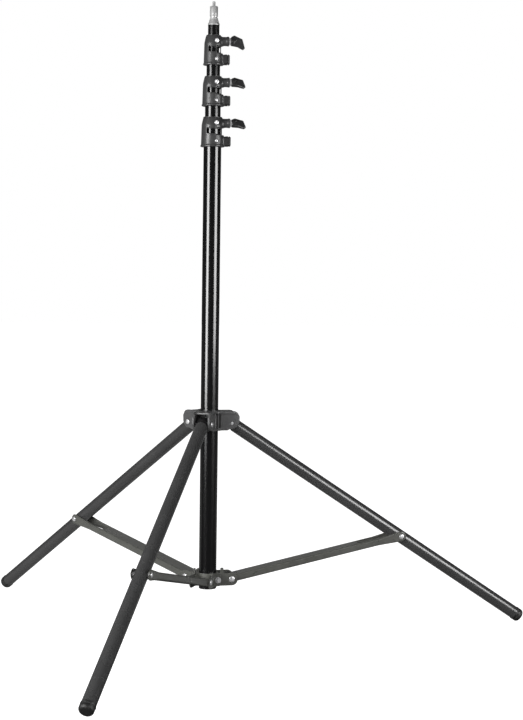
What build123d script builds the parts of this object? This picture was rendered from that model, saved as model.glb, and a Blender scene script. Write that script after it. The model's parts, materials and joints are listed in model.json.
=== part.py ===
"""Four-section telescopic lighting stand on a folding, braced tripod.

Millimetres, +Z up. The origin is on the floor, under the axis of the column.
The legs are spread and the three risers are pushed in: that is the rest state.
"""
import os
from math import asin, cos, degrees, radians, sin, sqrt

from build123d import *

# Tripod geometry, in the vertical plane of one leg
LEG_HEADINGS = {"right": 30.0, "left": 150.0, "front": 270.0}
PLATE_HEADINGS = {"back": 90.0, "front_left": 210.0, "front_right": 330.0}
LEG_LENGTH = 754.0
LEG_SPREAD = 56.65
LEG_FOLDED = 3.0
LEG_PIVOT_RADIUS = 43.2
BRACE_PIVOT_RADIUS = 44.8
LEG_TO_RIVET = 429.0
BRACE_LENGTH = 364.6
FOOT_TIP_HEIGHT = 8.6

# Column: the base tube and three risers, each stepping down by the same amount
BASE_TUBE_RADIUS = 17.5
TUBE_STEP = 2.1
TUBE_WALL = 1.5
PISTON_GAP = 0.05
LINER_GAP = 0.05
PISTON_LENGTHS = (80.0, 70.0, 60.0)
PISTON_PLUG = 14.0
PISTON_PAUSE = 2.0
VENT_RADIUS = 2.0

# Collars, from the lowest up: height of the underside, body radius, height
COLLAR_NAMES = ("lower", "middle", "upper")
COLLAR_BASES = (967.1, 1046.6, 1126.6)
COLLAR_RADII = (21.8, 20.2, 18.2)
COLLAR_HEIGHT = 57.0
LEVER_HEADING = 17.0
LEVER_TURNS = (-44.0, -40.0, -6.0)
SCREW_HEADING = -70.0
TUBE_SEAT = 22.0
WINDOW_BOTTOM = 25.0
WINDOW_TOP = 35.0
WINDOW_HALF = 11.0
LINER_WALL = 1.6
BOSS_DROP = 10.3
BOSS_RADIUS = 9.0
BOSS_REACH = 12.3
BUMPER_DROP = 46.0
BUMPER_RADIUS = 8.5
BUMPER_REACH = 14.0
THREAD_RADIUS = 4.0
THREAD_PITCH = 1.25
PAD_RADIUS = 4.2
PAD_LENGTH = 5.0
PAD_GAP = 0.1
SCREW_TIP_GAP = 1.0

# Spigot: a 5/8 inch stud with a 1/4 inch threaded tip
SPIGOT_BASE = 1204.6
SPIGOT_HEIGHT = 46.2
SPIGOT_RADIUS = 7.94
SPIGOT_THREAD_RADIUS = 3.15

# Legs, braces and feet
LEG_RADIUS = 13.0
LEG_WALL = 1.6
LEG_TUBE_START = 4.0
FOOT_WALL = 1.0
FOOT_LENGTH = 16.0
FOOT_CLOSED = 7.0
BRACE_WIDTH = 36.0
BRACE_DEPTH = 14.0
BRACE_WALL = 1.8
BRACE_LUG = 10.5
FORK_SLOT = 90.0
FORK_WEB_END = 36.0
FORK_HALF_WIDTH = 14.0

# Pins and rivets
PIN_RADIUS = 3.0
PIN_GAP = 0.05
RIVET_RADIUS = 2.6
HEAD_RADIUS = 5.0
HEAD_HEIGHT = 2.4

# Upper hub, which slides on the base tube. Its levels are measured from the leg pivots.
HUB_RADIUS = 24.0
HUB_BOTTOM = -14.5
HUB_TOP = 23.5
HUB_LINER_RADIUS = 19.4
CHEEK_GAP = 0.5
CHEEK_WALL = 4.8
CLEVIS_REACH = 58.0
CLEVIS_ROOF_WALL = 4.8

# Lower hub, which is fixed to the base tube
CORE_RADIUS = 21.0
CORE_LOBE = 8.5
CORE_BELOW = 13.0
CORE_ABOVE = 12.0
PLATE_WALL = 2.0
PLATE_GAP = 0.4
PLATE_HALF_HEIGHT = 12.5
PLATE_PAD = 27.0
END_DROP = 20.0
END_FLANGE = 4.0
BOLT_RADIUS = 3.0
BOLT_ACROSS_FLATS = 10.0

# Levels that follow from the tripod's geometry
LEG_PIVOT_Z = FOOT_TIP_HEIGHT + LEG_LENGTH * cos(radians(LEG_SPREAD))
RIVET_OUT = LEG_PIVOT_RADIUS + LEG_TO_RIVET * sin(radians(LEG_SPREAD))
RIVET_Z = LEG_PIVOT_Z - LEG_TO_RIVET * cos(radians(LEG_SPREAD))
BRACE_RISE = sqrt(BRACE_LENGTH**2 - (RIVET_OUT - BRACE_PIVOT_RADIUS) ** 2)
BRACE_PIVOT_Z = RIVET_Z - BRACE_RISE
BRACE_SLOPE = degrees(asin(BRACE_RISE / BRACE_LENGTH))
END_Z = BRACE_PIVOT_Z - END_DROP
CHEEK_INNER = LEG_RADIUS + CHEEK_GAP
CHEEK_OUTER = CHEEK_INNER + CHEEK_WALL
PLATE_INNER = BRACE_WIDTH / 2 + PLATE_GAP
PLATE_OUTER = PLATE_INNER + PLATE_WALL


def tube_radius(section):
    """Outer radius of a column section: 0 is the base tube, 3 the thinnest riser."""
    return BASE_TUBE_RADIUS - TUBE_STEP * section


def turned(shape, heading):
    """Turn a shape made along +X to a heading about the column."""
    return Rot(0, 0, heading) * shape


def upright(radius, bottom, top):
    """A cylinder about the column's axis between two levels."""
    return Pos(0, 0, bottom) * Cylinder(radius, top - bottom, align=(Align.CENTER, Align.CENTER, Align.MIN))


def outward(radius, start, end, level):
    """A cylinder that points along +X, from start to end, at one level."""
    rod = Cylinder(radius, end - start, align=(Align.CENTER, Align.CENTER, Align.MIN))
    return Pos(start, 0, level) * Rot(0, 90, 0) * rod


def crosswise(radius, half_length):
    """A cylinder along Y, centred on the origin."""
    return Rot(90, 0, 0) * Cylinder(radius, 2 * half_length)


def block(x0, x1, y0, y1, z0, z1):
    """A box given by its faces."""
    return Pos((x0 + x1) / 2, (y0 + y1) / 2, (z0 + z1) / 2) * Box(x1 - x0, y1 - y0, z1 - z0)


def side_plate(outline, y0, y1):
    """A plate cut to an XZ outline, lying between two offsets along Y."""
    return Pos(0, y1, 0) * extrude(Plane.XZ * outline, y1 - y0)


def radial_frame(shape, radius, level, slope, heading):
    """Carry a shape from its own pivot frame to its pivot on the stand."""
    return turned(Pos(radius, 0, level) * Rot(0, slope, 0) * shape, heading)


def leg_frame(shape, heading):
    return radial_frame(shape, LEG_PIVOT_RADIUS, LEG_PIVOT_Z, 90 - LEG_SPREAD, heading)


def brace_frame(shape, heading):
    return radial_frame(shape, BRACE_PIVOT_RADIUS, BRACE_PIVOT_Z, -BRACE_SLOPE, heading)


def domed_head(radius, height):
    """A rivet head that stands on Z = 0."""
    head = Cylinder(radius, height, align=(Align.CENTER, Align.CENTER, Align.MIN))
    return fillet(head.edges().group_by(Axis.Z)[-1], height * 0.7)


# ---------------------------------------------------------------- column

def base_tube():
    bottom = END_Z + END_FLANGE
    top = COLLAR_BASES[0] + TUBE_SEAT
    tube = upright(BASE_TUBE_RADIUS, bottom, top) - upright(BASE_TUBE_RADIUS - TUBE_WALL, bottom, top)
    return tube - screw_shanks(0)


def base_end_plug():
    plug = upright(BASE_TUBE_RADIUS, END_Z, END_Z + END_FLANGE)
    plug = fillet(plug.edges().group_by(Axis.Z)[0], 1.5)
    return plug + upright(BASE_TUBE_RADIUS - TUBE_WALL, END_Z + END_FLANGE, END_Z + END_FLANGE + 15)


def piston_levels():
    """Bottom and top of each riser's piston, one standing just clear of the next."""
    levels = []
    bottom = END_Z + END_FLANGE + 15 + PISTON_PAUSE
    for length in PISTON_LENGTHS:
        levels.append((bottom, bottom + length))
        bottom = bottom + length + PISTON_PLUG + PISTON_PAUSE
    return levels


def riser_tube(section):
    bottom = piston_levels()[section - 1][1]
    top = SPIGOT_BASE if section == 3 else COLLAR_BASES[section] + TUBE_SEAT
    radius = tube_radius(section)
    tube = upright(radius, bottom, top) - upright(radius - TUBE_WALL, bottom, top)
    return tube if section == 3 else tube - screw_shanks(section)


def riser_piston(section):
    bottom, top = piston_levels()[section - 1]
    bore = tube_radius(section - 1) - TUBE_WALL
    piston = upright(bore - PISTON_GAP, bottom, top)
    groove = upright(bore, bottom + 8, bottom + 12) - upright(bore - 1.2, bottom + 8, bottom + 12)
    plug = upright(tube_radius(section) - TUBE_WALL, top, top + PISTON_PLUG)
    return piston - groove + plug - upright(VENT_RADIUS, bottom, top + PISTON_PLUG)


def spigot():
    radius = SPIGOT_RADIUS
    outline = Polyline(
        (0, 0), (11.5, 0), (11.5, 3.4), (10.2, 4.6), (9.4, 9.6), (radius, 11.6), (radius, 13.4),
        (6.9, 14.2), (6.9, 16.8), (radius, 17.6), (radius, 35.8), (radius - 1.2, 37),
        (SPIGOT_THREAD_RADIUS, 37), (SPIGOT_THREAD_RADIUS, SPIGOT_HEIGHT - 0.8),
        (SPIGOT_THREAD_RADIUS - 0.8, SPIGOT_HEIGHT), (0, SPIGOT_HEIGHT), (0, 0),
    )
    stud = revolve(make_face(Plane.XZ * outline), Axis.Z)
    stem = upright(tube_radius(3) - TUBE_WALL, -26, 0)
    return Pos(0, 0, SPIGOT_BASE) * (stud + stem)


# ---------------------------------------------------------------- collars

def collar_levels(section):
    bottom = COLLAR_BASES[section]
    top = bottom + COLLAR_HEIGHT
    return bottom, top, top - BOSS_DROP, top - BUMPER_DROP


def screw_shanks(section):
    """Shanks of the two collar screws, from the surface inwards."""
    bottom, top, upper, lower = collar_levels(section)
    body = COLLAR_RADII[section]
    liner = tube_radius(section + 1) + LINER_GAP + LINER_WALL
    pair = outward(2.0, liner, body, upper) + outward(2.0, tube_radius(section) - 1.3, body, lower)
    return turned(pair, LEVER_HEADING + SCREW_HEADING)


def collar_body(section):
    bottom, top, upper, lower = collar_levels(section)
    body_radius = COLLAR_RADII[section]
    bore = tube_radius(section + 1) + LINER_GAP + LINER_WALL
    lower_ring = fillet(upright(body_radius + 0.7, bottom, bottom + 24).edges(), 1.2)
    upper_ring = upright(body_radius, bottom + 22, top)
    upper_ring = fillet(upper_ring.edges().group_by(Axis.Z)[-1], 1.8)
    body = lower_ring + upper_ring
    body += outward(BOSS_RADIUS, 0, body_radius + BOSS_REACH, upper)
    body += outward(6.0, 0, body_radius + 6.0, lower)
    body -= upright(tube_radius(section), bottom, bottom + TUBE_SEAT)
    body -= upright(bore, bottom + TUBE_SEAT, top)
    body -= block(-WINDOW_HALF, WINDOW_HALF, -40, 40, bottom + WINDOW_BOTTOM, bottom + WINDOW_TOP)
    pad_seat = tube_radius(section + 1) + PAD_LENGTH + SCREW_TIP_GAP + 1.0
    body -= outward(PAD_RADIUS + 0.1, 0, pad_seat, upper)
    body -= outward(THREAD_RADIUS + PIN_GAP, 0, body_radius + BOSS_REACH, upper)
    for level in (upper, lower):
        seat = outward(4.6, body_radius - 0.5, body_radius + 5, level)
        body -= turned(seat, SCREW_HEADING)
    return turned(body, LEVER_HEADING) - screw_shanks(section)


def collar_liner(section):
    bottom, top, upper, lower = collar_levels(section)
    inner = tube_radius(section + 1) + LINER_GAP
    liner = upright(inner + LINER_WALL, bottom + WINDOW_TOP, top) + upright(inner + 3.0, top, top + 1.4)
    liner -= upright(inner, bottom, top + 2)
    return liner - turned(outward(PAD_RADIUS + 0.1, 0, 30, upper), LEVER_HEADING)


def collar_screws(section):
    bottom, top, upper, lower = collar_levels(section)
    seat = COLLAR_RADII[section] - 0.5
    heads = [Pos(seat, 0, z) * Rot(0, 90, 0) * domed_head(r, 2.2) for z, r in ((upper, 4.2), (lower, 3.4))]
    shanks = screw_shanks(section) - turned(outward(6, seat, 40, upper), LEVER_HEADING + SCREW_HEADING)
    shanks -= turned(outward(6, seat, 40, lower), LEVER_HEADING + SCREW_HEADING)
    return shanks + turned(heads[0] + heads[1], LEVER_HEADING + SCREW_HEADING)


def collar_bumper(section):
    bottom, top, upper, lower = collar_levels(section)
    body = COLLAR_RADII[section]
    cap = outward(BUMPER_RADIUS, body + 0.4, body + BUMPER_REACH, lower)
    cap = fillet(cap.edges().group_by(Axis.X)[-1], 5.5)
    skirt = upright(body + 0.9, bottom - 5, bottom + 30)
    return turned(cap - skirt - outward(6.0, 0, body + 6.0, lower), LEVER_HEADING)


def wing_screw(section):
    """Threaded spindle with a shoulder ring that sits just off the boss."""
    upper = collar_levels(section)[2]
    end = COLLAR_RADII[section] + BOSS_REACH
    tip = tube_radius(section + 1) + PAD_GAP + PAD_LENGTH + SCREW_TIP_GAP
    screw = outward(THREAD_RADIUS, tip, end + 10, upper) + outward(7.2, end + 0.5, end + 3.2, upper)
    return turned(screw, LEVER_HEADING)


def wing_lever(section):
    """One-sided lever: a round nose on the spindle and a tapering flag that droops to its tip."""
    upper = collar_levels(section)[2]
    start = COLLAR_RADII[section] + BOSS_REACH + 3.2
    points = ((1, -8), (1, 9), (7, 10.5), (25, 3), (30, -14), (26, -16.5), (13, -10))
    outline = fillet(make_face(Polyline(*points, close=True)).vertices(), 2.0)
    flag = fillet(side_plate(outline, -3.2, 3.2).edges().filter_by(Axis.Y, reverse=True), 1.4)
    lever = Pos(start, 0, 0) * (outward(6.4, 0, 9, 0) + flag - outward(THREAD_RADIUS, 0, 6.8, 0))
    return turned(Pos(0, 0, upper) * Rot(LEVER_TURNS[section], 0, 0) * lever, LEVER_HEADING)


def brake_pad(section):
    upper = collar_levels(section)[2]
    start = tube_radius(section + 1) + PAD_GAP
    pad = outward(PAD_RADIUS, start - 1, start + PAD_LENGTH, upper)
    return turned(pad - upright(start, upper - 10, upper + 10), LEVER_HEADING)


# ---------------------------------------------------------------- upper hub

def clevis_outline():
    middle = (HUB_BOTTOM + HUB_TOP) / 2
    plate = Pos((18 + CLEVIS_REACH) / 2, middle) * Rectangle(CLEVIS_REACH - 18, HUB_TOP - HUB_BOTTOM)
    return fillet(plate.vertices().group_by(Axis.X)[-1], 10.0)


def upper_hub():
    hub = fillet(upright(HUB_RADIUS, HUB_BOTTOM, HUB_TOP).edges(), 1.5)
    cheek = side_plate(clevis_outline(), CHEEK_INNER, CHEEK_OUTER)
    cheek = cheek + mirror(cheek, Plane.XZ)
    roof = block(20, CLEVIS_REACH - 11, -CHEEK_OUTER, CHEEK_OUTER, HUB_TOP - CLEVIS_ROOF_WALL, HUB_TOP)
    arm = cheek + roof
    arm -= Pos(LEG_PIVOT_RADIUS, 0, 0) * crosswise(PIN_RADIUS, 40)
    for heading in LEG_HEADINGS.values():
        hub += turned(arm, heading)
    for heading in (PLATE_HEADINGS["front_left"], PLATE_HEADINGS["front_right"]):
        for tilt in (-18, 0, 18):
            hub += turned(block(20, 26.5, -1.5, 1.5, HUB_BOTTOM + 3, HUB_TOP - 2), heading + tilt)
    hub += turned(outward(11, 18, 34, 0), PLATE_HEADINGS["back"])
    hub -= upright(HUB_LINER_RADIUS, -30, 30)
    hub -= turned(outward(PAD_RADIUS + 0.1, 10, 24.6, 0), PLATE_HEADINGS["back"])
    hub -= turned(outward(THREAD_RADIUS + PIN_GAP, 10, 40, 0), PLATE_HEADINGS["back"])
    return Pos(0, 0, LEG_PIVOT_Z) * hub


def upper_hub_liner():
    liner = upright(HUB_LINER_RADIUS, HUB_BOTTOM - 1, HUB_TOP + 1.6)
    liner += upright(HUB_LINER_RADIUS + 2.6, HUB_TOP, HUB_TOP + 1.6)
    liner -= upright(BASE_TUBE_RADIUS + LINER_GAP, -30, 30)
    liner -= turned(outward(PAD_RADIUS + 0.1, 10, 30, 0), PLATE_HEADINGS["back"])
    return Pos(0, 0, LEG_PIVOT_Z) * liner


def leg_pivot_pins():
    """Pins with a head on one cheek and a riveted end sunk in the other."""
    pin = Pos(0, 0.6, 0) * crosswise(PIN_RADIUS, CHEEK_OUTER - 0.6)
    pin += Pos(0, CHEEK_OUTER, 0) * Rot(-90, 0, 0) * domed_head(HEAD_RADIUS, HEAD_HEIGHT)
    pins = [turned(Pos(LEG_PIVOT_RADIUS, 0, LEG_PIVOT_Z) * pin, h) for h in LEG_HEADINGS.values()]
    return Compound(children=pins)


def hub_lock_screw():
    tip = BASE_TUBE_RADIUS + PAD_GAP + PAD_LENGTH + SCREW_TIP_GAP
    screw = outward(THREAD_RADIUS, tip, 46, LEG_PIVOT_Z) + outward(7.2, 34.5, 37, LEG_PIVOT_Z)
    return turned(screw, PLATE_HEADINGS["back"])


def hub_lock_knob():
    """Three-lobed knob on the hub's lock screw."""
    knob = outward(9, 37, 53, LEG_PIVOT_Z)
    for turn in (0, 120, 240):
        lobe = outward(5.5, 39, 53, 11)
        knob += Pos(0, 0, LEG_PIVOT_Z) * Rot(turn, 0, 0) * lobe
    knob = fillet(knob.edges().group_by(Axis.X)[-1], 1.5)
    return turned(knob - outward(THREAD_RADIUS, 30, 46, LEG_PIVOT_Z), PLATE_HEADINGS["back"])


def hub_lock_pad():
    start = BASE_TUBE_RADIUS + PAD_GAP
    pad = outward(PAD_RADIUS, start - 1, start + PAD_LENGTH, LEG_PIVOT_Z)
    pad -= upright(start, LEG_PIVOT_Z - 10, LEG_PIVOT_Z + 10)
    return turned(pad, PLATE_HEADINGS["back"])


# ---------------------------------------------------------------- lower hub

def lower_hub_core():
    core = upright(CORE_RADIUS, -CORE_BELOW, CORE_ABOVE)
    for heading in PLATE_HEADINGS.values():
        lobe = block(15, PLATE_PAD, -CORE_LOBE, CORE_LOBE, -CORE_BELOW, CORE_ABOVE)
        core += turned(lobe, heading)
    core -= upright(BASE_TUBE_RADIUS, -30, 30)
    for heading in PLATE_HEADINGS.values():
        core -= turned(outward(BOLT_RADIUS, 19.5, 40, 0), heading)
    return Pos(0, 0, BRACE_PIVOT_Z) * core


def lower_hub_plate(heading):
    """Bent plate: a pad on the core and a cheek for each of two braces."""
    cheek = Rectangle(BRACE_PIVOT_RADIUS - 22, 2 * PLATE_HALF_HEIGHT, align=(Align.MIN, Align.CENTER))
    outline = Pos(22, 0) * cheek + Pos(BRACE_PIVOT_RADIUS, 0) * Circle(PLATE_HALF_HEIGHT)
    ear = Pos(21.5 + 3, PLATE_HALF_HEIGHT + 5) * Rectangle(6, 12)
    near = side_plate(outline, PLATE_INNER, PLATE_OUTER)
    far = side_plate(outline + ear, -PLATE_OUTER, -PLATE_INNER)
    pad = block(PLATE_PAD, PLATE_PAD + PLATE_WALL, -10.5, 10.5, -PLATE_HALF_HEIGHT, PLATE_HALF_HEIGHT)
    plate = turned(pad, heading) + turned(near, heading - 60) + turned(far, heading + 60)
    plate -= turned(outward(BOLT_RADIUS, 20, 40, 0), heading)
    for side in (-60, 60):
        plate -= turned(Pos(BRACE_PIVOT_RADIUS, 0, 0) * crosswise(PIN_RADIUS, 40), heading + side)
    return Pos(0, 0, BRACE_PIVOT_Z) * plate


def lower_hub_bolts():
    """Hexagon bolts that hold the bent plates on the core."""
    start = PLATE_PAD + PLATE_WALL
    washer = outward(6.2, start, start + 1.0, 0)
    hexagon = extrude(Plane.YZ * RegularPolygon(BOLT_ACROSS_FLATS / 2, 6, major_radius=False), 4.0)
    head = Pos(start + 1.0, 0, 0) * fillet(hexagon.edges().group_by(Axis.X)[-1], 0.6)
    bolt = washer + head + outward(BOLT_RADIUS, 19.5, start + 2, 0)
    bolts = [turned(Pos(0, 0, BRACE_PIVOT_Z) * bolt, h) for h in PLATE_HEADINGS.values()]
    return Compound(children=bolts)


def brace_pivot_pins():
    """Pins across the lower hub's cheeks, with a head at each end."""
    pin = crosswise(PIN_RADIUS, PLATE_OUTER)
    for turn in (-90, 90):
        side = 1 if turn < 0 else -1
        pin += Pos(0, side * PLATE_OUTER, 0) * Rot(turn, 0, 0) * domed_head(HEAD_RADIUS + 1, HEAD_HEIGHT)
    pins = [turned(Pos(BRACE_PIVOT_RADIUS, 0, BRACE_PIVOT_Z) * pin, h) for h in LEG_HEADINGS.values()]
    return Compound(children=pins)


# ---------------------------------------------------------------- legs

def leg_tube():
    end = LEG_LENGTH - FOOT_CLOSED
    tube = outward(LEG_RADIUS, LEG_TUBE_START, end, 0)
    tube -= outward(LEG_RADIUS - LEG_WALL, LEG_TUBE_START, end, 0)
    return tube - Pos(LEG_TO_RIVET, 0, 0) * crosswise(4.4, 20)


def leg_insert():
    """Moulded end of the leg, with the bore for its pivot pin."""
    body = outward(LEG_RADIUS, -LEG_RADIUS, LEG_TUBE_START, 0)
    rounding = crosswise(LEG_RADIUS, 20) + block(0, 20, -20, 20, -20, 20)
    plug = outward(LEG_RADIUS - LEG_WALL, LEG_TUBE_START, LEG_TUBE_START + 26, 0)
    return (body & rounding) + plug - crosswise(PIN_RADIUS + PIN_GAP, 20)


def leg_rivet_bush():
    bush = crosswise(4.4, LEG_RADIUS) - crosswise(RIVET_RADIUS + 0.1, 20)
    return Pos(LEG_TO_RIVET, 0, 0) * bush


def leg_foot():
    start = LEG_LENGTH - FOOT_LENGTH
    cap = outward(LEG_RADIUS + FOOT_WALL, start, LEG_LENGTH, 0)
    cap = fillet(cap.edges().group_by(Axis.X)[-1], 6.0)
    return cap - outward(LEG_RADIUS, start, LEG_LENGTH - FOOT_CLOSED, 0)


def below_floor():
    return block(-900, 900, -900, 900, -100, 0)


# ---------------------------------------------------------------- braces

def brace_outline():
    """Side view of the channel: straight, with a wider lug round the outer rivet."""
    flare = Polyline((BRACE_LENGTH - 52, -7), (BRACE_LENGTH - 52, 7), (BRACE_LENGTH, BRACE_LUG),
                     (BRACE_LENGTH, -BRACE_LUG), close=True)
    half = BRACE_DEPTH / 2
    straight = Pos(BRACE_LENGTH / 2, 0) * Rectangle(BRACE_LENGTH, BRACE_DEPTH)
    ends = Circle(half) + Pos(BRACE_LENGTH, 0) * Circle(BRACE_LUG)
    return straight + ends + make_face(flare)


def brace_channel():
    half = BRACE_DEPTH / 2
    inside = BRACE_WIDTH / 2 - BRACE_WALL
    body = side_plate(brace_outline(), -BRACE_WIDTH / 2, BRACE_WIDTH / 2)
    web_edges = [e for e in body.edges().filter_by(Axis.X) if e.center().Z > half - 0.1]
    body = fillet(web_edges, 3.0)
    body -= block(-20, BRACE_LENGTH + 20, -inside, inside, -20, half - BRACE_WALL)
    slot_start = BRACE_LENGTH - FORK_SLOT
    body -= block(slot_start, BRACE_LENGTH + 20, -FORK_HALF_WIDTH, FORK_HALF_WIDTH, -20, 20)
    body -= block(BRACE_LENGTH - FORK_WEB_END, BRACE_LENGTH + 20, -inside, inside, -20, 20)
    body -= crosswise(PIN_RADIUS + PIN_GAP, 40)
    return body - Pos(BRACE_LENGTH, 0, 0) * crosswise(RIVET_RADIUS, 40)


def brace_rivets():
    """Two stub rivets with inner spacers, one in each cheek of the fork."""
    outside = BRACE_WIDTH / 2
    inside = outside - BRACE_WALL
    spacer_end = LEG_RADIUS + 0.6
    stub = Cylinder(RIVET_RADIUS, outside - spacer_end, align=(Align.CENTER, Align.CENTER, Align.MIN))
    spacer = Cylinder(6.0, inside - spacer_end, align=(Align.CENTER, Align.CENTER, Align.MIN))
    head = Pos(0, 0, outside - spacer_end) * domed_head(HEAD_RADIUS, HEAD_HEIGHT)
    rivet = Pos(0, 0, spacer_end) * (stub + spacer + head)
    return Compound(children=[Pos(BRACE_LENGTH, 0, 0) * Rot(t, 0, 0) * rivet for t in (-90, 90)])


# ---------------------------------------------------------------- assembly

def nodes():
    made = {
        "base_tube": base_tube(),
        "base_end_plug": base_end_plug(),
        "lower_hub_core": lower_hub_core(),
        "lower_hub_bolts": lower_hub_bolts(),
        "brace_pivot_pins": brace_pivot_pins(),
        "upper_hub": upper_hub(),
        "upper_hub_liner": upper_hub_liner(),
        "leg_pivot_pins": leg_pivot_pins(),
        "hub_lock_screw": hub_lock_screw(),
        "hub_lock_knob": hub_lock_knob(),
        "hub_lock_pad": hub_lock_pad(),
        "spigot": spigot(),
    }
    for name, heading in PLATE_HEADINGS.items():
        made[f"lower_hub_plate_{name}"] = lower_hub_plate(heading)
    for section in (1, 2, 3):
        made[f"riser_{section}_tube"] = riser_tube(section)
        made[f"riser_{section}_piston"] = riser_piston(section)
    for section, name in enumerate(COLLAR_NAMES):
        made[f"{name}_collar_body"] = collar_body(section)
        made[f"{name}_collar_liner"] = collar_liner(section)
        made[f"{name}_collar_screws"] = collar_screws(section)
        made[f"{name}_collar_bumper"] = collar_bumper(section)
        made[f"{name}_wing_screw"] = wing_screw(section)
        made[f"{name}_wing_lever"] = wing_lever(section)
        made[f"{name}_brake_pad"] = brake_pad(section)
    for name, heading in LEG_HEADINGS.items():
        made[f"{name}_leg_tube"] = leg_frame(leg_tube(), heading)
        made[f"{name}_leg_insert"] = leg_frame(leg_insert(), heading)
        made[f"{name}_leg_rivet_bush"] = leg_frame(leg_rivet_bush(), heading)
        made[f"{name}_leg_foot"] = leg_frame(leg_foot(), heading) - below_floor()
        made[f"{name}_brace_channel"] = brace_frame(brace_channel(), heading)
        made[f"{name}_brace_rivets"] = brace_frame(brace_rivets(), heading)
    return made


os.makedirs("parts", exist_ok=True)
for node_name, node_shape in nodes().items():
    export_step(node_shape, f"parts/{node_name}.step")
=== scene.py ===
"""Looks for the four-section lighting stand.

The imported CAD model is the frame. Its tubes, channels, plates and liners keep their shape and
get their finish here. Castings, levers, feet, rivets and the stud are replaced by finer meshes.
Shapes are worked out in millimetres and placed in metres, in the frame's own axes.
"""
import json
from math import atan2, cos, pi, radians, sin

import bpy
import numpy as np
from mathutils import Matrix, Vector

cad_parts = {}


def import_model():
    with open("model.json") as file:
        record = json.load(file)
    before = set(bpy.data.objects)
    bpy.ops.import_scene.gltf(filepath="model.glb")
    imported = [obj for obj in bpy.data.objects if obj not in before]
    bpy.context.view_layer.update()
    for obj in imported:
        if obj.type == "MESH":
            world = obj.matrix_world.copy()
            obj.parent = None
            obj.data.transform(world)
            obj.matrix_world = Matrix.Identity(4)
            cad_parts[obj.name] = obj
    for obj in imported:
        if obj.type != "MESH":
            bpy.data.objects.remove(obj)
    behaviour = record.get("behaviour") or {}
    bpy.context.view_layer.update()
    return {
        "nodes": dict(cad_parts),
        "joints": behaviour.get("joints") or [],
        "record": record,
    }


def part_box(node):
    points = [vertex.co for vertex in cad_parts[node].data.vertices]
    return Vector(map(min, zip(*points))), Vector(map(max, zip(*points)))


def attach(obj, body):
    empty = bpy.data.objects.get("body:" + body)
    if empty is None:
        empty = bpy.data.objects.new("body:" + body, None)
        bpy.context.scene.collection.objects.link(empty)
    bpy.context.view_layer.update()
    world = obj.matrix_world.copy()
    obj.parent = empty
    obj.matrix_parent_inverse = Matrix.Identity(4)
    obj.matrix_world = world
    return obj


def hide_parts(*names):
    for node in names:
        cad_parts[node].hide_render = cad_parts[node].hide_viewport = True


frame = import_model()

JOINTS = {joint["name"]: joint for joint in frame["joints"]}
MM = 0.001

# Column, in millimetres
TUBE_RADII = [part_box(n)[1].x / MM for n in ("base_tube", "riser_1_tube", "riser_2_tube", "riser_3_tube")]
COLLARS = ("lower", "middle", "upper")
COLLAR_BODIES = {"lower": "base", "middle": "riser_1", "upper": "riser_2"}
COLLAR_RADII = {"lower": 21.8, "middle": 20.2, "upper": 18.2}
COLLAR_HEIGHT = 57.0
SKIRT_FLARE = 1.0
SHOULDER_DRAW = 3.2
SEAT_DEPTH = 22.0
WINDOW_MIDDLE = 30.5
WINDOW_HALF = 5.2
WAIST = (30.0, 7.0)
LINER_WALL = 1.65
BOSS_LEVEL = 46.7
BOSS_REACH = 12.3
BUMPER_LEVEL = 11.0
SCREW_TURN = radians(-70)
SCREWS = ((46.7, 4.2), (11.0, 2.9))
SPIGOT_HEIGHT = 46.2

# Studio, in degrees and metres
VIEW_SWING = 16.83
FLOOR_LEVEL = -0.0004
FLOOR_JOIN = 0.15

# Legs and braces, in millimetres and radians
LEGS = ("right", "left", "front")
LEG_SPREAD = radians(56.65)
LEG_LENGTH = 754.0
LEG_RADIUS = 13.0
LEG_WALL = 1.6
LEG_CUT = 9.5
LEG_TO_RIVET = 429.0
FOOT_LENGTH = 16.0
FOOT_CLOSED = 7.0
BRACE_LENGTH = 364.6
FORK_OUTSIDE = 18.0
PLATE_OUTSIDE = 20.4
PLATE_FACE = 29.0

# Upper hub, in millimetres. Its levels are measured from the leg pivots.
HUB_RADIUS = 24.0
HUB_BOTTOM = -14.5
HUB_TOP = 23.5
CHEEK = (13.5, 18.3)
CHEEK_OUTLINE = [(16, -14.5), (33, -14.5), (38, -12.2), (47, -11.4), (53.5, -7.0), (57.5, 0), (58, 13),
                 (54, 20.5), (47, 23.5), (16, 23.5)]


# ------------------------------------------------------------------ distance fields

def edged(side, cap):
    """Distance to where two walls meet, from the distance to each."""
    outside = np.hypot(np.maximum(side, 0), np.maximum(cap, 0))
    return np.minimum(np.maximum(side, cap), 0) + outside


def rod(p, radius, low, high):
    """Distance to a cylinder about the local Z axis. The radius may vary from point to point."""
    side = np.hypot(p[0], p[1]) - radius
    return edged(side, np.abs(p[2] - (low + high) / 2) - (high - low) / 2)


def outward_rod(p, radius, low, high, level):
    """Distance to a cylinder along local X at a height."""
    return rod((p[1], p[2] - level, p[0]), radius, low, high)


def brick(p, centre, half, corner):
    """Distance to a box with rounded edges."""
    q = [np.abs(axis - middle) - size + corner for axis, middle, size in zip(p, centre, half)]
    outside = np.sqrt(sum(np.maximum(side, 0) ** 2 for side in q))
    return outside + np.minimum(np.maximum(np.maximum(q[0], q[1]), q[2]), 0) - corner


def outline_distance(x, y, points):
    """Distance to a closed outline of straight sides, negative inside."""
    nearest = np.full(x.shape, 1e9, np.float32)
    inside = np.zeros(x.shape, bool)
    for (ax, ay), (bx, by) in zip(points, points[1:] + points[:1]):
        ex, ey = bx - ax, by - ay
        wx, wy = x - ax, y - ay
        t = np.clip((wx * ex + wy * ey) / (ex * ex + ey * ey), 0, 1)
        nearest = np.minimum(nearest, (wx - ex * t) ** 2 + (wy - ey * t) ** 2)
        if ey:
            inside ^= ((ay > y) != (by > y)) & (wx < ex * wy / ey)
    return np.where(inside, -1, 1) * np.sqrt(nearest)


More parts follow.
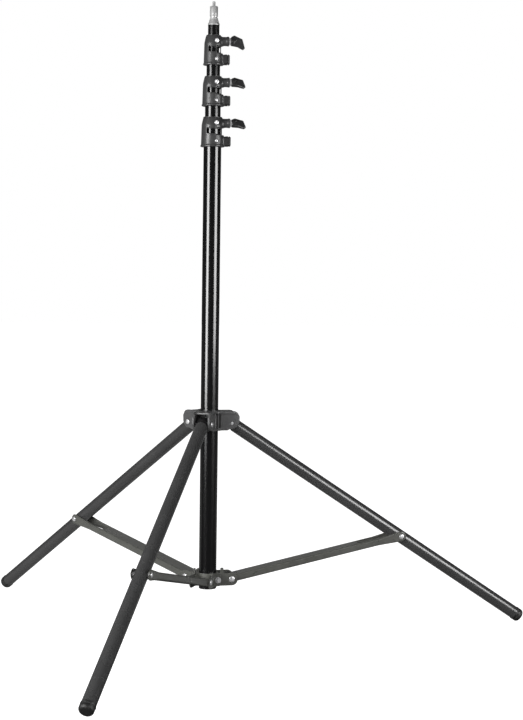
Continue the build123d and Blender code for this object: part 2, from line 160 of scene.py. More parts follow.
def plate(p, outline, half_thickness, corner=0.0):
    """Distance to a plate cut to an XZ outline, centred on Y = 0."""
    side = outline_distance(p[0], p[2], outline) + corner
    return edged(side, np.abs(p[1]) - half_thickness + corner) - corner


def melt(a, b, blend):
    """Both shapes, joined with a fillet of about the given size."""
    share = np.clip(0.5 + 0.5 * (b - a) / blend, 0, 1)
    return b + (a - b) * share - blend * share * (1 - share)


def carve(a, b, blend=0.6):
    """The first shape with the second taken away, its new edges eased."""
    return -melt(-a, b, blend)


def seen_from(p, placing):
    """The same points in the axes of a part placed among them."""
    m = np.array(placing.inverted(), np.float32)
    return tuple(m[i, 0] * p[0] + m[i, 1] * p[1] + m[i, 2] * p[2] + m[i, 3] for i in range(3))


def turn_z(angle):
    return Matrix.Rotation(angle, 4, "Z")


def at(x, y, z):
    return Matrix.Translation((x, y, z))


# ------------------------------------------------------------------ meshes

def skin(values, low, step):
    """Points and faces of the zero level of a grid of distances."""
    inside = values < 0
    cells_shape = tuple(n - 1 for n in values.shape)
    corners = [(i, j, k) for i in (0, 1) for j in (0, 1) for k in (0, 1)]
    count = np.zeros(cells_shape, np.int8)
    for i, j, k in corners:
        count += inside[i:cells_shape[0] + i, j:cells_shape[1] + j, k:cells_shape[2] + k]
    cells = np.argwhere((count > 0) & (count < 8))
    number = np.full(cells_shape, -1)
    number[tuple(cells.T)] = np.arange(len(cells))
    total = np.zeros((len(cells), 3))
    hits = np.zeros(len(cells))
    for axis in range(3):
        along = np.eye(3, dtype=int)[axis]
        for corner in (np.array(c) for c in corners if not c[axis]):
            start = values[tuple((cells + corner).T)]
            end = values[tuple((cells + corner + along).T)]
            crossed = (start < 0) != (end < 0)
            share = np.where(crossed, start / np.where(crossed, start - end, 1), 0)
            total += (corner + np.outer(share, along)) * crossed[:, None]
            hits += crossed
    points = np.array(low) + step * (cells + total / hits[:, None])
    faces = [grid_faces(inside, number, axis) for axis in range(3)]
    return points, np.concatenate(faces)


def grid_faces(inside, number, axis):
    """A face for each grid line along one axis that the surface crosses, wound outwards."""
    near = [slice(None)] * 3
    far = [slice(None)] * 3
    near[axis], far[axis] = slice(None, -1), slice(1, None)
    edges = np.argwhere(inside[tuple(near)] != inside[tuple(far)])
    u, v = (axis + 1) % 3, (axis + 2) % 3
    kept = (edges[:, u] > 0) & (edges[:, v] > 0)
    kept &= (edges[:, u] < number.shape[u]) & (edges[:, v] < number.shape[v])
    edges = edges[kept]
    unit = np.eye(3, dtype=int)
    around = (edges, edges - unit[u], edges - unit[u] - unit[v], edges - unit[v])
    quads = np.stack([number[tuple(e.T)] for e in around], 1)
    outwards = inside[tuple(edges.T)]
    return np.where(outwards[:, None], quads, quads[:, ::-1])


def new_mesh(name, points, faces):
    mesh = bpy.data.meshes.new(name)
    mesh.from_pydata([tuple(point) for point in points], [], [tuple(face) for face in faces])
    mesh.validate()
    return mesh


def settled(name, mesh, modifiers):
    """The mesh with modifiers applied. Each modifier is a kind and its settings."""
    carrier = bpy.data.objects.new(name, mesh)
    bpy.context.scene.collection.objects.link(carrier)
    for kind, settings in modifiers:
        modifier = carrier.modifiers.new(kind, kind)
        for key, value in settings.items():
            setattr(modifier, key, value)
    graph = bpy.context.evaluated_depsgraph_get()
    made = bpy.data.meshes.new_from_object(carrier.evaluated_get(graph))
    bpy.data.objects.remove(carrier)
    return made


def cast(name, field, low, high, step, placing, keep=0.3):
    """Mesh of a shape given by its distance field, in millimetres, carried to its place."""
    axes = [np.arange(a, b + step, step, dtype=np.float32) for a, b in zip(low, high)]
    p = np.meshgrid(*axes, indexing="ij")
    points, faces = skin(field(p), low, step)
    smooth = ("SMOOTH", {"factor": 0.5, "iterations": 2})
    thin = ("DECIMATE", {"ratio": keep})
    mesh = settled(name, new_mesh(name, points, faces), (smooth, thin))
    mesh.transform(Matrix.Scale(MM, 4) @ placing)
    return mesh


def spun(name, rows, placing, steps=72):
    """Closed mesh turned about the local Z axis. A row is a radius and a height, and its radius
    may be a function of the angle."""
    angles = np.arange(steps) * 2 * pi / steps
    rings = []
    for radius, height in rows:
        radii = radius(angles) if callable(radius) else np.full(steps, radius)
        rings.append(np.stack([radii * np.cos(angles), radii * np.sin(angles), np.full(steps, height)], 1))
    faces = []
    for row in range(len(rows) - 1):
        for i in range(steps):
            j = (i + 1) % steps
            faces.append((row * steps + i, row * steps + j, (row + 1) * steps + j, (row + 1) * steps + i))
    faces.append(tuple(reversed(range(steps))))
    faces.append(tuple(range((len(rows) - 1) * steps, len(rows) * steps)))
    mesh = new_mesh(name, np.concatenate(rings), faces)
    mesh.transform(Matrix.Scale(MM, 4) @ placing)
    return mesh


def joined(name, meshes):
    """One mesh from several."""
    points, faces = [], []
    for mesh in meshes:
        start = len(points)
        points += [tuple(v.co) for v in mesh.vertices]
        faces += [tuple(start + i for i in face.vertices) for face in mesh.polygons]
    return new_mesh(name, points, faces)


def piece(name, mesh, material, body, nodes, sharp=radians(40)):
    """Shows a mesh as a piece that rides on a body and stands for CAD nodes."""
    made = bpy.data.objects.new(name, mesh)
    bpy.context.scene.collection.objects.link(made)
    mesh.materials.clear()
    mesh.materials.append(material)
    mesh.polygons.foreach_set("use_smooth", [True] * len(mesh.polygons))
    mesh.set_sharp_from_angle(angle=sharp)
    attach(made, body)
    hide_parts(*nodes)
    return made


# ------------------------------------------------------------------ materials

def add(tree, kind, values=None, links=None, **settings):
    node = tree.nodes.new(kind)
    for key, value in settings.items():
        setattr(node, key, value)
    for key, value in (values or {}).items():
        node.inputs[key].default_value = value
    for key, source in (links or {}).items():
        tree.links.new(source, node.inputs[key])
    return node


def noise(tree, stretch, scale, detail=4.0, roughness=0.55):
    """Noise over the object's own coordinates, drawn out along an axis by a small stretch."""
    coords = add(tree, "ShaderNodeTexCoord")
    mapping = add(tree, "ShaderNodeMapping", {"Scale": stretch}, {"Vector": coords.outputs["Object"]})
    values = {"Scale": scale, "Detail": detail, "Roughness": roughness}
    return add(tree, "ShaderNodeTexNoise", values, {"Vector": mapping.outputs["Vector"]}).outputs["Fac"]


def ranged(tree, source, low, high, start=0.0, end=1.0):
    """The source carried from low..high to start..end, held at its ends."""
    values = {"From Min": low, "From Max": high, "To Min": start, "To Max": end}
    return add(tree, "ShaderNodeMapRange", values, {"Value": source}).outputs["Result"]


def product(tree, a, b):
    return add(tree, "ShaderNodeMath", None, {0: a, 1: b}, operation="MULTIPLY").outputs[0]


def mixed(tree, share, first, second):
    """A colour between two. Each is a colour or the output of a node."""
    node = add(tree, "ShaderNodeMix", None, {0: share}, data_type="RGBA")
    for socket, colour in ((6, first), (7, second)):
        if isinstance(colour, tuple):
            node.inputs[socket].default_value = (*colour, 1.0)
        else:
            tree.links.new(colour, node.inputs[socket])
    return node.outputs[2]


def edges(tree, radius, low, high):
    """1 on edges that a hand or a bag would rub, 0 on flat faces, broken up by noise."""
    bevel = add(tree, "ShaderNodeBevel", {"Radius": radius}, samples=4)
    geometry = add(tree, "ShaderNodeNewGeometry")
    links = {0: bevel.outputs["Normal"], 1: geometry.outputs["Normal"]}
    facing = add(tree, "ShaderNodeVectorMath", None, links, operation="DOT_PRODUCT").outputs["Value"]
    edge = ranged(tree, facing, 0.985, 0.86)
    rubbed = ranged(tree, noise(tree, (1, 1, 1), 160.0), low, high)
    return product(tree, edge, rubbed)


def painted(name, dark, light, roughness, grain, stretch=(1, 1, 1), depth=0.02, wear=0.5, metallic=0.0,
            **plain):
    """A finish whose colour, gloss and relief vary, and which is rubbed through along edges."""
    material = bpy.data.materials.new(name)
    material.use_nodes = True
    tree = material.node_tree
    shader = tree.nodes["Principled BSDF"]
    shader.inputs["Metallic"].default_value = metallic
    for key, value in plain.items():
        shader.inputs[key.replace("_", " ").capitalize()].default_value = value
    clouds = ranged(tree, noise(tree, stretch, 14.0), 0.3, 0.7)
    fine = noise(tree, stretch, grain, 3.0)
    colour = mixed(tree, clouds, dark, light)
    gloss = ranged(tree, noise(tree, stretch, 55.0), 0.25, 0.75, roughness - 0.05, roughness + 0.06)
    if wear:
        rub = product(tree, edges(tree, 0.0009, 0.45, 0.7), ranged(tree, clouds, 0, 1, wear, wear * 0.8))
        colour = mixed(tree, rub, colour, tuple(min(1.0, 0.1 + 3.2 * c) for c in light))
    tree.links.new(colour, shader.inputs["Base Color"])
    tree.links.new(gloss, shader.inputs["Roughness"])
    bump = add(tree, "ShaderNodeBump", {"Strength": 0.35, "Distance": depth * MM * 10}, {"Height": fine})
    tree.links.new(bump.outputs["Normal"], shader.inputs["Normal"])
    return material


ALONG_Z = (1, 1, 0.03)
MATERIALS = {
    "tube_anodised": painted("black_gloss", (0.0022, 0.0022, 0.0024), (0.004, 0.004, 0.0042), 0.17, 700.0,
                             ALONG_Z, 0.0, 0.0),
    "leg_paint": painted("satin_leg", (0.035, 0.035, 0.0353), (0.044, 0.044, 0.0443), 0.25, 900.0,
                          depth=0.001, wear=0.2),
    "steel_paint": painted("satin_brace", (0.062, 0.0628, 0.057), (0.08, 0.0808, 0.0735), 0.3, 800.0,
                           depth=0.002, wear=0.3),
    "cast_paint": painted("cast_grey", (0.026, 0.026, 0.0262), (0.038, 0.038, 0.0385), 0.33, 420.0,
                          depth=0.03),
    "cast_hub": painted("cast_hub", (0.048, 0.048, 0.0485), (0.068, 0.068, 0.0685), 0.36, 420.0, depth=0.03),
    # A lighter, olive-tinted copy of the cast finish for the lower hub core. It is painted reflection of the
    # pale floor and surroundings, not a colour of the part's own.
    "cast_core_painted_light": painted("cast_core_painted_light", (0.08, 0.082, 0.072), (0.105, 0.107, 0.095), 0.42, 420.0, depth=0.03),
    "cast_dark": painted("cast_dark", (0.012, 0.012, 0.0125), (0.021, 0.021, 0.0215), 0.34, 420.0,
                         depth=0.03),
    "bright_steel": painted("bright_steel", (0.62, 0.62, 0.63), (0.78, 0.78, 0.79), 0.3, 500.0, depth=0.004,
                            wear=0.0, metallic=0.65),
    "dull_steel": painted("dull_steel", (0.42, 0.42, 0.42), (0.5, 0.5, 0.5), 0.36, 500.0, depth=0.004,
                          wear=0.0, metallic=0.5),
    "rubber": painted("black_rubber", (0.005, 0.005, 0.005), (0.009, 0.009, 0.009), 0.55, 520.0, depth=0.03,
                      wear=0.15),
    "black_plastic": painted("black_plastic", (0.006, 0.006, 0.0065), (0.011, 0.011, 0.0115), 0.42, 380.0,
                             depth=0.02, wear=0.15),
}
# The lower hub core takes the lighter cast copy: painted reflection of its bright surroundings.
PAINTED_LIGHT_FINISH = {"lower_hub_core": "cast_core_painted_light"}
SLOTS = {part["node"]: part["material_slot"] for part in frame["record"]["subparts"]}


def finish_cad_nodes():
    """Gives each CAD node the finish of its material slot. The lower hub core instead gets a lighter copy of
    the cast finish, which is painted light.
    """
    for name, node in frame["nodes"].items():
        for slot in node.material_slots:
            slot.material = MATERIALS[PAINTED_LIGHT_FINISH.get(name, SLOTS[name])]


# ------------------------------------------------------------------ collars

def collar_frame(name):
    """The collar's own axes: X towards its lever, Z up from its underside."""
    axis = JOINTS[f"{name}_lever_turn"]["axis"]
    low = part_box(f"{name}_collar_body")[0].z / MM
    return at(0, 0, low) @ turn_z(atan2(axis[1], axis[0]))


def collar_radius(radius, z):
    """Outer radius of the casting: it widens to its lip and draws in at the top."""
    skirt = SKIRT_FLARE * (1 - np.clip(z / 40, 0, 1))
    shoulder = SHOULDER_DRAW * np.clip((z - 42) / (COLLAR_HEIGHT - 42), 0, 1) ** 1.2
    return radius + skirt - shoulder


def collar_field(radius, seat, bore):
    """A casting: tapered body with a lip, window, waist, lever boss and bumper seat."""
    def field(p):
        across = np.hypot(p[0], p[1])
        shape = rod(p, collar_radius(radius, p[2]) - 0.7, 0.7, COLLAR_HEIGHT - 0.7) - 0.7
        shape = melt(shape, rod(p, radius + 1.5, 0.7, 2.8) - 0.5, 1.0)
        seat_pad = brick(p, (radius - 4, 0, BUMPER_LEVEL), (8.5, 8.6, 9.2), 3.0)
        shape = melt(shape, seat_pad, 2.0)
        boss = outward_rod(p, 8.2, 0, radius + BOSS_REACH - 0.7, BOSS_LEVEL) - 0.7
        flange = outward_rod(p, 8.9, radius + 8.6, radius + BOSS_REACH - 0.7, BOSS_LEVEL) - 0.6
        shape = melt(melt(shape, boss, 3.0), flange, 0.8)
        waist = np.maximum(np.maximum(radius - 3.4 - across, np.abs(p[2] - WAIST[0]) - WAIST[1]), 7 - p[0])
        shape = carve(shape, waist, 1.2)
        shape = carve(shape, rod(p, seat, -5, SEAT_DEPTH))
        shape = carve(shape, rod(p, bore, SEAT_DEPTH - 1, COLLAR_HEIGHT + 5))
        rise = WINDOW_MIDDLE - 0.08 * p[0]
        opening = brick(p, (0.09 * radius, 0, rise), (0.62 * radius, 60, WINDOW_HALF), 1.6)
        shape = carve(shape, opening)
        shape = carve(shape, outward_rod(p, 4.1, 0, 60, BOSS_LEVEL))
        for level, head in SCREWS:
            hole = outward_rod(seen_from(p, turn_z(SCREW_TURN)), head + 0.5, radius - 0.5, radius + 9, level)
            shape = carve(shape, hole, 0.4)
        return shape

    return field


def collar_body(name, index):
    radius = COLLAR_RADII[name]
    seat, bore = TUBE_RADII[index], TUBE_RADII[index + 1] + LINER_WALL
    side = radius + 6
    low, high = (-side, -side, -1.5), (radius + BOSS_REACH + 1.5, side, COLLAR_HEIGHT + 1.5)
    mesh = cast(name, collar_field(radius, seat, bore), low, high, 0.6, collar_frame(name), 0.35)
    piece(f"{name}_collar_casting", mesh, MATERIALS["cast_paint"], COLLAR_BODIES[name],
          [f"{name}_collar_body"])


def bumper(name):
    """Rubber stop: a rounded square peg with a rim and a dished end."""
    radius = COLLAR_RADII[name]

    def field(p):
        peg = brick(p, (radius + 6.6, 0, BUMPER_LEVEL), (7.4, 9.2, 9.9), 3.8)
        dish = brick(p, (radius + 14.6, 0, BUMPER_LEVEL), (1.6, 5.2, 5.8), 1.4)
        groove = brick(p, (radius + 9.4, 0, BUMPER_LEVEL), (0.5, 12, 12), 0.2)
        neck = brick(p, (radius + 9.4, 0, BUMPER_LEVEL), (2, 8.1, 8.7), 3.2)
        shape = carve(carve(peg, dish), np.maximum(groove, -neck), 0.3)
        skirt = radius + SKIRT_FLARE + 0.9
        shape = carve(shape, rod(p, skirt, -20, 50), 0.2)
        shape = carve(shape, brick(p, (radius - 4, 0, BUMPER_LEVEL), (8.9, 9.0, 9.6), 3.2), 0.2)
        return shape

    low, high = (radius - 3, -11, BUMPER_LEVEL - 12), (radius + 16, 11, BUMPER_LEVEL + 12)
    mesh = cast(name, field, low, high, 0.5, collar_frame(name), 0.4)
    piece(f"{name}_collar_stop", mesh, MATERIALS["rubber"], COLLAR_BODIES[name],
          [f"{name}_collar_bumper"])


def hex_socket(across):
    """Radius of a hexagonal recess as a function of the angle."""
    return lambda angle: across / 2 / np.cos((angle + pi / 6) % (pi / 3) - pi / 6)


def socket_head(radius, height, shank_radius, shank_low):
    """Rows of a socket screw whose head stands on height 0, from its shank up."""
    flats = hex_socket(radius * 0.95)
    return [(shank_radius, shank_low), (shank_radius, 0), (radius - 0.2, 0), (radius, 0.2),
            (radius, height - 0.7), (radius - 0.25, height - 0.25), (radius - 0.8, height),
            (radius * 0.62, height), (radius * 0.6, height - 0.1), (flats, height - 0.3),
            (flats, height * 0.3), (0.4, height * 0.2)]


def collar_screws(name):
    radius = COLLAR_RADII[name]
    meshes = []
    for level, head in SCREWS:
        place = turn_z(SCREW_TURN) @ at(radius - 0.45, 0, level) @ Matrix.Rotation(pi / 2, 4, "Y")
        meshes.append(spun(name, socket_head(head, 2.3, 2.0, -2.0), collar_frame(name) @ place))
    piece(f"{name}_collar_screw_heads", joined(name, meshes), MATERIALS["bright_steel"],
          COLLAR_BODIES[name], [f"{name}_collar_screws"])


LEVER_TILTS = {"lower": radians(-44), "middle": radians(-40), "upper": radians(-6)}


def wing_lever(name):
    """Cast wing: a round nose on the spindle and a faceted flag that droops to its tip."""
    start = COLLAR_RADII[name] + BOSS_REACH + 3.4
    flag = [(1.4, -8.2), (1.4, 9.2), (6.5, 12), (22.5, 4.5), (27.5, -13.5), (23.5, -17), (12.5, -10.5)]

    def field(p):
        nose = rod((p[1], p[2], p[0]), 7.4 - 0.2 * np.clip(p[0], 0, 12), 0.7, 9.5) - 0.7
        bend = 0.004 * (p[0] - 4) ** 2
        thickness = 4.4 - 0.055 * np.clip(p[0], 0, 30) - 0.05 * np.abs(p[2])
        wing = plate(p, flag, 20.0, 0.0)
        facet = np.abs(p[1] + bend) - thickness
        shape = melt(nose, edged(wing + 1.1, facet + 1.1) - 1.1, 2.5)
        for side in (-1, 1):
            hollow = brick(p, (13.5, side * 6.6 - 0.4, -2.5), (6.0, 3.0, 3.6), 1.6)
            shape = carve(shape, hollow, 1.0)
        return carve(shape, rod((p[1], p[2], p[0]), 4.05, -4, 6.8), 0.3)

    tilt = Matrix.Rotation(LEVER_TILTS[name], 4, "X")
    place = collar_frame(name) @ at(start, 0, BOSS_LEVEL) @ tilt
    mesh = cast(name, field, (-1, -10, -20), (32, 8, 13), 0.5, place, 0.35)
    piece(f"{name}_wing", mesh, MATERIALS["cast_dark"], f"{name}_lever", [f"{name}_wing_lever"])


def spigot():
    """Stud with a flared foot, a safety groove and a threaded tip."""
    radius = 7.94
    core, crest, pitch = 2.55, 3.15, 1.27
    rows = [(TUBE_RADII[3] - 1.5, -26), (TUBE_RADII[3] - 1.5, 0), (11.3, 0), (11.5, 0.3), (11.5, 2.8),
            (11.2, 3.4), (10.3, 4.4), (9.6, 7.0), (9.0, 9.4), (radius, 11.4), (radius, 13.4), (7.0, 14.3),
            (6.9, 15.5), (7.0, 16.8), (radius, 17.6), (radius, 35.6), (7.6, 36.3), (6.9, 36.8), (6.6, 37.0),
            (3.0, 37.0), (2.7, 37.3)]
    turns = np.linspace(37.5, SPIGOT_HEIGHT - 0.9, 60)
    for height in turns:
        def thread(angle, height=height):
            wave = np.abs(((height / pitch - angle / (2 * pi)) % 1) * 2 - 1)
            return core + (crest - core) * wave
        rows.append((thread, height))
    rows += [(2.5, SPIGOT_HEIGHT - 0.5), (2.1, SPIGOT_HEIGHT - 0.1), (0.6, SPIGOT_HEIGHT - 0.1)]
    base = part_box("spigot")[1].z / MM - SPIGOT_HEIGHT
    mesh = spun("spigot", rows, at(0, 0, base), 96)
    piece("stud", mesh, MATERIALS["dull_steel"], "riser_3", ["spigot"], radians(30))


# ------------------------------------------------------------------ hubs

def heading_of(joint):
    place = JOINTS[joint]["pos_m"]
    return atan2(place[1], place[0])


def level_of(joint):
    return JOINTS[joint]["pos_m"][2] / MM


def radius_of(joint):
    return Vector(JOINTS[joint]["pos_m"][:2]).length / MM


def clevis(p):
    """One leg's clevis along local X: two cheeks under a stepped roof."""
    middle, half = sum(CHEEK) / 2, (CHEEK[1] - CHEEK[0]) / 2
    shape = None
    for side in (-1, 1):
        cheek = plate((p[0], p[1] - side * middle, p[2]), CHEEK_OUTLINE, half, 1.2)
        rim = brick(p, (36, side * (CHEEK[1] - 1.2), HUB_TOP - 2.6), (15, 1.9, 2.2), 1.0)
        cheek = melt(cheek, rim, 1.5)
        shape = cheek if shape is None else np.minimum(shape, cheek)
    roof = brick(p, (31, 0, HUB_TOP - 2.6), (14.5, CHEEK[1], 2.4), 1.2)
    lip = brick(p, (44.4, 0, HUB_TOP - 4.0), (1.6, CHEEK[1] - 1, 3.4), 1.0)
    return melt(melt(shape, roof, 2.5), lip, 1.5)


def ribbed(shape, p, heading):
    """Three upright ribs with pockets between them, on the hub's wall."""
    middle = (HUB_BOTTOM + HUB_TOP) / 2
    for tilt in (-0.36, 0, 0.36):
        rib = brick(seen_from(p, turn_z(heading + tilt)), (24, 0, middle), (3.2, 1.3, 16.5), 0.9)
        shape = melt(shape, rib, 1.2)
    for tilt in (-0.18, 0.18):
        pocket = brick(seen_from(p, turn_z(heading + tilt)), (27, 0, middle), (5.0, 2.7, 14.5), 1.0)
        shape = carve(shape, pocket, 0.8)
    return shape


def upper_hub():
    legs = [heading_of(f"{leg}_leg_fold") for leg in LEGS]
    gaps = [heading + pi / 3 for heading in legs]
    back = max(gaps, key=lambda angle: sin(angle))
    pivot_radius = radius_of("front_leg_fold")

    def field(p):
        shape = rod(p, HUB_RADIUS - 1, HUB_BOTTOM + 1, HUB_TOP - 1) - 1
        for heading in legs:
            shape = melt(shape, clevis(seen_from(p, turn_z(heading))), 3.0)
        for heading in gaps:
            if heading != back:
                shape = ribbed(shape, p, heading)
        boss = outward_rod(seen_from(p, turn_z(back)), 10.4, 18, 33.4, 0) - 0.6
        shape = melt(shape, boss, 4.0)
        shape = carve(shape, rod(p, 19.45, -40, 40))
        shape = carve(shape, outward_rod(seen_from(p, turn_z(back)), 4.2, 8, 60, 0))
        for heading in legs:
            q = seen_from(p, turn_z(heading) @ at(pivot_radius, 0, 0))
            shape = carve(shape, rod((q[0], q[2], q[1]), 3.05, -40, 40), 0.3)
            slot = brick(q, (10, 0, -3.7), (32, CHEEK[0], 22.4), 0.2)
            shape = carve(shape, np.maximum(slot, 25.2 - np.hypot(p[0], p[1])), 0.4)
        return shape

    place = at(0, 0, level_of("front_leg_fold"))
    mesh = cast("upper_hub", field, (-63, -63, -17), (63, 63, 26), 0.7, place, 0.3)
    piece("sliding_hub_casting", mesh, MATERIALS["cast_hub"], "hub", ["upper_hub"])


def knob():
    """Three-lobed knob with a recessed face, on the hub's lock screw."""
    def field(p):
        shape = rod(p, 8.6, 0.6, 15.4) - 0.6
        for turn in range(3):
            lobe = seen_from(p, turn_z(turn * 2 * pi / 3) @ at(10.6, 0, 0))
            shape = melt(shape, rod(lobe, 4.6 - 0.04 * (p[2] - 8), 2.6, 14.8) - 0.7, 5.0)
        shape = carve(shape, rod(p, 5.6, 14.6, 20), 0.8)
        return carve(shape, rod(p, 4.05, -5, 9), 0.3)

    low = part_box("hub_lock_knob")[0]
    place = at(0, low.y / MM, level_of("front_leg_fold")) @ Matrix.Rotation(-pi / 2, 4, "X")
    mesh = cast("knob", field, (-18, -18, -1), (18, 18, 17.5), 0.6, place, 0.35)
    piece("hub_lock_handwheel", mesh, MATERIALS["black_plastic"], "hub_knob", ["hub_lock_knob"])


def button(radius, height):
    """Rows of a peened rivet head that stands on height 0: a dome with a rolled rim."""
    rows = [(radius - 0.15, 0.0), (radius, 0.25), (radius, height * 0.3)]
    for step in range(1, 8):
        turn = step / 8 * pi / 2
        rows.append((radius * cos(turn) ** 0.8, height * (0.3 + 0.7 * sin(turn))))
    return rows


def mirrored(rows, distance):
    """Rows of a head pointing the other way, its seat at minus the distance."""
    return [(radius, -distance - height) for radius, height in reversed(rows)]


def raised(rows, distance):
    return [(radius, distance + height) for radius, height in rows]


def pivot_frame(joint, slope):
    """A leg's or brace's own axes: X along it, Y across it."""
    turn = turn_z(heading_of(joint))
    return turn @ at(radius_of(joint), 0, level_of(joint)) @ Matrix.Rotation(slope, 4, "Y")


ACROSS = Matrix.Rotation(-pi / 2, 4, "X")


def pins():
    """Pins of the leg clevises and of the lower hub's cheeks."""
    leg_rows = [(2.6, 1.2 - CHEEK[1]), (2.95, 1.5 - CHEEK[1]), (2.95, CHEEK[1])]
    leg_rows += raised(button(5.0, 2.4), CHEEK[1])
    meshes = [spun("pin", leg_rows, pivot_frame(f"{leg}_leg_fold", 0) @ ACROSS) for leg in LEGS]
    piece("leg_pins", joined("leg_pins", meshes), MATERIALS["bright_steel"], "hub",
          ["leg_pivot_pins"])
    head = button(6.0, 2.4)
    rows = mirrored(head, PLATE_OUTSIDE) + [(2.95, -PLATE_OUTSIDE), (2.95, PLATE_OUTSIDE)]
    rows += raised(head, PLATE_OUTSIDE)
    meshes = [spun("pin", rows, pivot_frame(f"{leg}_brace_fold", 0) @ ACROSS) for leg in LEGS]
    piece("brace_pins", joined("brace_pins", meshes), MATERIALS["bright_steel"], "base",
          ["brace_pivot_pins"])


def hub_bolts():
    """Hexagon bolts with a washer and a chamfered head, on the bent plates."""
    hexagon = hex_socket(10.0)

    def chamfered(limit):
        return lambda angle: np.minimum(hexagon(angle), limit)

    rows = [(2.95, -9.5), (2.95, 0), (6.0, 0), (6.2, 0.2), (6.2, 0.8), (6.0, 1.0), (hexagon, 1.0),
            (hexagon, 4.0), (chamfered(5.35), 4.5), (chamfered(4.9), 5.0), (3.6, 5.0), (3.4, 4.8), (0.5, 4.8)]
    meshes = []
    for leg in LEGS:
        heading = heading_of(f"{leg}_brace_fold") + pi / 3
        place = turn_z(heading) @ at(PLATE_FACE, 0, level_of("front_brace_fold"))
        meshes.append(spun("bolt", rows, place @ Matrix.Rotation(pi / 2, 4, "Y")))
    piece("plate_bolts", joined("bolts", meshes), MATERIALS["bright_steel"], "base",
          ["lower_hub_bolts"], radians(25))


# ------------------------------------------------------------------ legs

ALONG_X = Matrix.Rotation(pi / 2, 4, "Y")


def brace_slope():
    """Angle of a brace below the level, from where its two pivots lie."""
    pivot = level_of("front_brace_fold")
    rivet = level_of("front_leg_fold") - LEG_TO_RIVET * cos(LEG_SPREAD)
    return -np.arcsin((rivet - pivot) / BRACE_LENGTH)


def brace_rivets(leg):
    """Stub rivets in the two cheeks of the fork, each with a spacer and a peened head."""
    near = LEG_RADIUS + 0.6
    rows = [(3.9, near), (4.1, near + 0.3), (4.1, 16.2), (2.6, 16.2), (2.6, FORK_OUTSIDE)]
    rows += raised(button(5.0, 2.4), FORK_OUTSIDE)
    frame_of_brace = pivot_frame(f"{leg}_brace_fold", brace_slope()) @ at(BRACE_LENGTH, 0, 0)
    turns = [Matrix.Rotation(side * pi / 2, 4, "X") for side in (-1, 1)]
    meshes = [spun("rivet", rows, frame_of_brace @ turn) for turn in turns]
    piece(f"{leg}_fork_rivets", joined("rivets", meshes), MATERIALS["bright_steel"], f"{leg}_brace",
          [f"{leg}_brace_rivets"])


def leg_frame(leg):
    return pivot_frame(f"{leg}_leg_fold", pi / 2 - LEG_SPREAD)


def leg_tube(leg):
    """Round tube with a deburred rim, cut square just below its pivot."""
    end = LEG_LENGTH - FOOT_CLOSED - 0.5
    bore = LEG_RADIUS - LEG_WALL
    rows = [(bore, LEG_CUT + 25), (bore, LEG_CUT + 0.4), (bore + 0.4, LEG_CUT), (LEG_RADIUS - 0.5, LEG_CUT),
            (LEG_RADIUS - 0.15, LEG_CUT + 0.15), (LEG_RADIUS, LEG_CUT + 0.5)]
    rows += [(LEG_RADIUS, height) for height in np.linspace(LEG_CUT + 1, end, 24)]
    mesh = spun(leg, rows, leg_frame(leg) @ ALONG_X, 96)
    piece(f"{leg}_leg_sleeve", mesh, MATERIALS["leg_paint"], f"{leg}_leg", [f"{leg}_leg_tube"])


def foot(leg):
    """Short rubber foot with a lip and a round nose, worn flat where it stands."""
    place = leg_frame(leg) @ at(LEG_LENGTH - FOOT_LENGTH, 0, 0)
    rise = level_of(f"{leg}_leg_fold") - (LEG_LENGTH - FOOT_LENGTH) * cos(LEG_SPREAD)

    def field(p):
        q = (p[1], p[2], p[0])
        nose = 6.0
        shape = rod(q, 13.6 - nose, -20, FOOT_LENGTH - 0.2 - nose) - nose
        shape = np.maximum(shape, 0.6 - p[0])
        shape = melt(shape, rod(q, 13.3, 0.8, 2.6) - 0.5, 0.8)
        groove = np.maximum(np.abs(p[0] - 5.2) - 0.6, 12.9 - np.hypot(p[1], p[2]))
        shape = carve(shape, groove, 0.5)
        shape = carve(shape, rod(q, LEG_RADIUS + 0.02, -20, FOOT_LENGTH - FOOT_CLOSED), 0.2)
        height = rise - p[0] * cos(LEG_SPREAD) + p[2] * sin(LEG_SPREAD)
        return np.maximum(shape, 0.02 - height)

    mesh = cast(leg, field, (-1, -15.5, -15.5), (FOOT_LENGTH + 1.5, 15.5, 15.5), 0.45, place, 0.35)
    piece(f"{leg}_foot_cap", mesh, MATERIALS["rubber"], f"{leg}_leg", [f"{leg}_leg_foot"])


# ------------------------------------------------------------------ studio

def camera():
    """A long view from a little left of the front leg, level with the middle of the stand."""
    swing = radians(VIEW_SWING)
    distance, height = 3.3597, 0.7202
    data = bpy.data.cameras.new("camera")
    data.lens, data.sensor_width = 84.9, 36.0
    made = bpy.data.objects.new("camera", data)
    bpy.context.scene.collection.objects.link(made)
    aim = turn_z(swing - radians(1.739)) @ Matrix.Rotation(pi / 2 - radians(2.922), 4, "X")
    stand = at(distance * sin(swing), -distance * cos(swing), height)
    made.matrix_world = stand @ aim @ turn_z(radians(0.739))
    bpy.context.scene.camera = made


def softbox(name, swing, distance, low, high, width, radiance, shines=True, fills=True):
    """An upright panel that faces the column, on a bearing measured from the view's own. A panel
    that doesn't shine isn't seen in what is glossy, and one that doesn't fill is seen only there."""
    bearing = radians(VIEW_SWING + swing)
    data = bpy.data.lights.new(name, "AREA")
    data.shape, data.size, data.size_y = "RECTANGLE", width, high - low
    data.energy = radiance * pi * width * (high - low)
    made = bpy.data.objects.new(name, data)
    bpy.context.scene.collection.objects.link(made)
    place = Vector((distance * sin(bearing), -distance * cos(bearing), (low + high) / 2))
    aim = Vector((0, 0, min(place.z, 0.9))) - place
    made.matrix_world = Matrix.Translation(place) @ aim.to_track_quat("-Z", "Y").to_matrix().to_4x4()
    made.visible_camera = False
    made.visible_glossy = shines
    made.visible_diffuse = fills


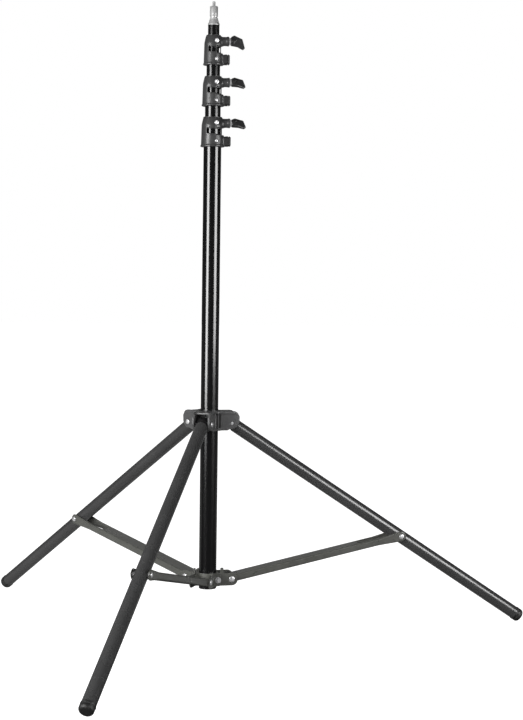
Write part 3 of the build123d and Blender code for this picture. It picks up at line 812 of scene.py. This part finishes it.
def world(backdrop, surroundings):
    """A white backdrop behind the stand, and a dim room in what it reflects."""
    made = bpy.data.worlds.new("studio")
    made.use_nodes = True
    tree = made.node_tree
    tree.nodes.clear()
    path = add(tree, "ShaderNodeLightPath")
    seen = add(tree, "ShaderNodeBackground", {"Color": (1, 1, 1, 1), "Strength": backdrop})
    felt = add(tree, "ShaderNodeBackground", {"Color": (1, 1, 1, 1), "Strength": surroundings})
    mix = add(tree, "ShaderNodeMixShader")
    tree.links.new(path.outputs["Is Camera Ray"], mix.inputs[0])
    tree.links.new(felt.outputs[0], mix.inputs[1])
    tree.links.new(seen.outputs[0], mix.inputs[2])
    output = add(tree, "ShaderNodeOutputWorld")
    tree.links.new(mix.outputs[0], output.inputs["Surface"])
    bpy.context.scene.world = made


def floor():
    """A pale floor that runs into the backdrop. It glows for the camera and throws little light up."""
    material = bpy.data.materials.new("pale_floor")
    material.use_nodes = True
    tree = material.node_tree
    shader = tree.nodes["Principled BSDF"]
    shader.inputs["Base Color"].default_value = (0.35, 0.35, 0.35, 1)
    shader.inputs["Roughness"].default_value = 0.9
    shader.inputs["Emission Color"].default_value = (1, 1, 1, 1)
    path = add(tree, "ShaderNodeLightPath")
    glow = ranged(tree, path.outputs["Is Camera Ray"], 0.0, 1.0, 0.12, 1.1)
    tree.links.new(glow, shader.inputs["Emission Strength"])
    for name, near, far in (("floor_front", -20.0, FLOOR_JOIN), ("floor_back", FLOOR_JOIN, 20.0)):
        corners = [(x, y, FLOOR_LEVEL) for x, y in ((-20, near), (20, near), (20, far), (-20, far))]
        mesh = new_mesh(name, corners, [(0, 1, 2, 3)])
        mesh.transform(turn_z(radians(VIEW_SWING)))
        mesh.materials.append(material)
        made = bpy.data.objects.new(name, mesh)
        bpy.context.scene.collection.objects.link(made)
        made.visible_glossy = near == FLOOR_JOIN


def studio():
    camera()
    softbox("left_softbox", -48, 2.6, 0.25, 1.45, 1.3, 19.0)
    softbox("right_softbox", 58, 2.6, 0.44, 1.29, 1.5, 15.5, fills=False)
    softbox("right_fill", 58, 2.6, 0.44, 1.29, 1.5, 8.0, shines=False)
    softbox("front_fill", -12, 3.2, 0.3, 1.9, 1.6, 5.5, shines=False)
    softbox("top_fill", 10, 0.8, 2.6, 3.2, 2.0, 0.8, shines=False)
    softbox("back_left_fill", -145, 2.6, 2.0, 3.6, 1.6, 1.2, shines=False)
    softbox("back_right_fill", 145, 2.6, 2.0, 3.6, 1.6, 1.2, shines=False)
    softbox("rear_glow", 180, 2.6, 0.9, 1.8, 2.6, 0.35, fills=False)
    world(1.0, 0.05)
    floor()
    settings = bpy.context.scene.view_settings
    settings.view_transform, settings.look = "Standard", "None"


studio()
finish_cad_nodes()
for number, collar in enumerate(COLLARS):
    collar_body(collar, number)
    bumper(collar)
    collar_screws(collar)
    wing_lever(collar)
spigot()
upper_hub()
knob()
pins()
hub_bolts()
for leg_name in LEGS:
    brace_rivets(leg_name)
    leg_tube(leg_name)
    foot(leg_name)
